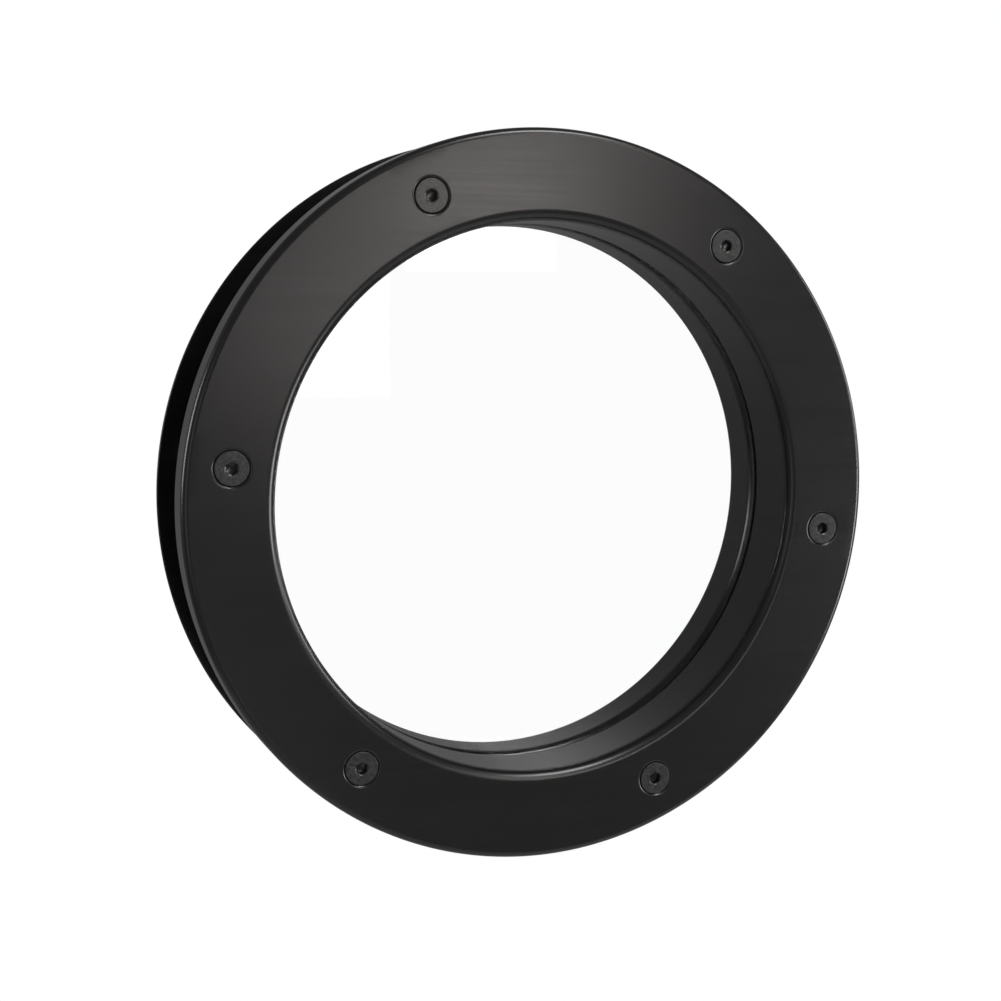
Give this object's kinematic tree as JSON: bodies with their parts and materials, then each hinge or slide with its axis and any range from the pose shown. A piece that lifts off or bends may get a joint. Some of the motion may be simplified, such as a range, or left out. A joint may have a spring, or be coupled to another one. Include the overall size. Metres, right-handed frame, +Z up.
{
  "type": "round window",
  "caption": "Round porthole window for a door leaf: two black pressed flanges clamp a clear glass pane, held together by countersunk screws in threaded sleeves.",
  "frame": {"origin": "centre of the whole window: on the window's axis, half way between its front face and its rear face", "axes": "+Y along the window's axis, from the front face through the glass to the rear face; +Z up; +X to the right, seen from the front"},
  "size_m": [0.265, 0.05, 0.265],
  "materials": {
    "black_coat": "satin black coat over brushed sheet steel",
    "clear_glass": "clear, polished",
    "black_rubber": "matt",
    "black_screw": "matt black oxide, fine grain",
    "zinc_steel": "turned, dull zinc plate"
  },
  "bodies": {
    "root": {"front_flange": "black_coat", "rear_flange": "black_coat", "glass_pane": "clear_glass", "front_glass_seal": "black_rubber", "rear_glass_seal": "black_rubber", "screw_1": "black_screw", "screw_2": "black_screw", "screw_3": "black_screw", "screw_4": "black_screw", "screw_5": "black_screw", "screw_6": "black_screw", "threaded_sleeve_1": "zinc_steel", "threaded_sleeve_2": "zinc_steel", "threaded_sleeve_3": "zinc_steel", "threaded_sleeve_4": "zinc_steel", "threaded_sleeve_5": "zinc_steel", "threaded_sleeve_6": "zinc_steel"}
  },
  "joints": []
}
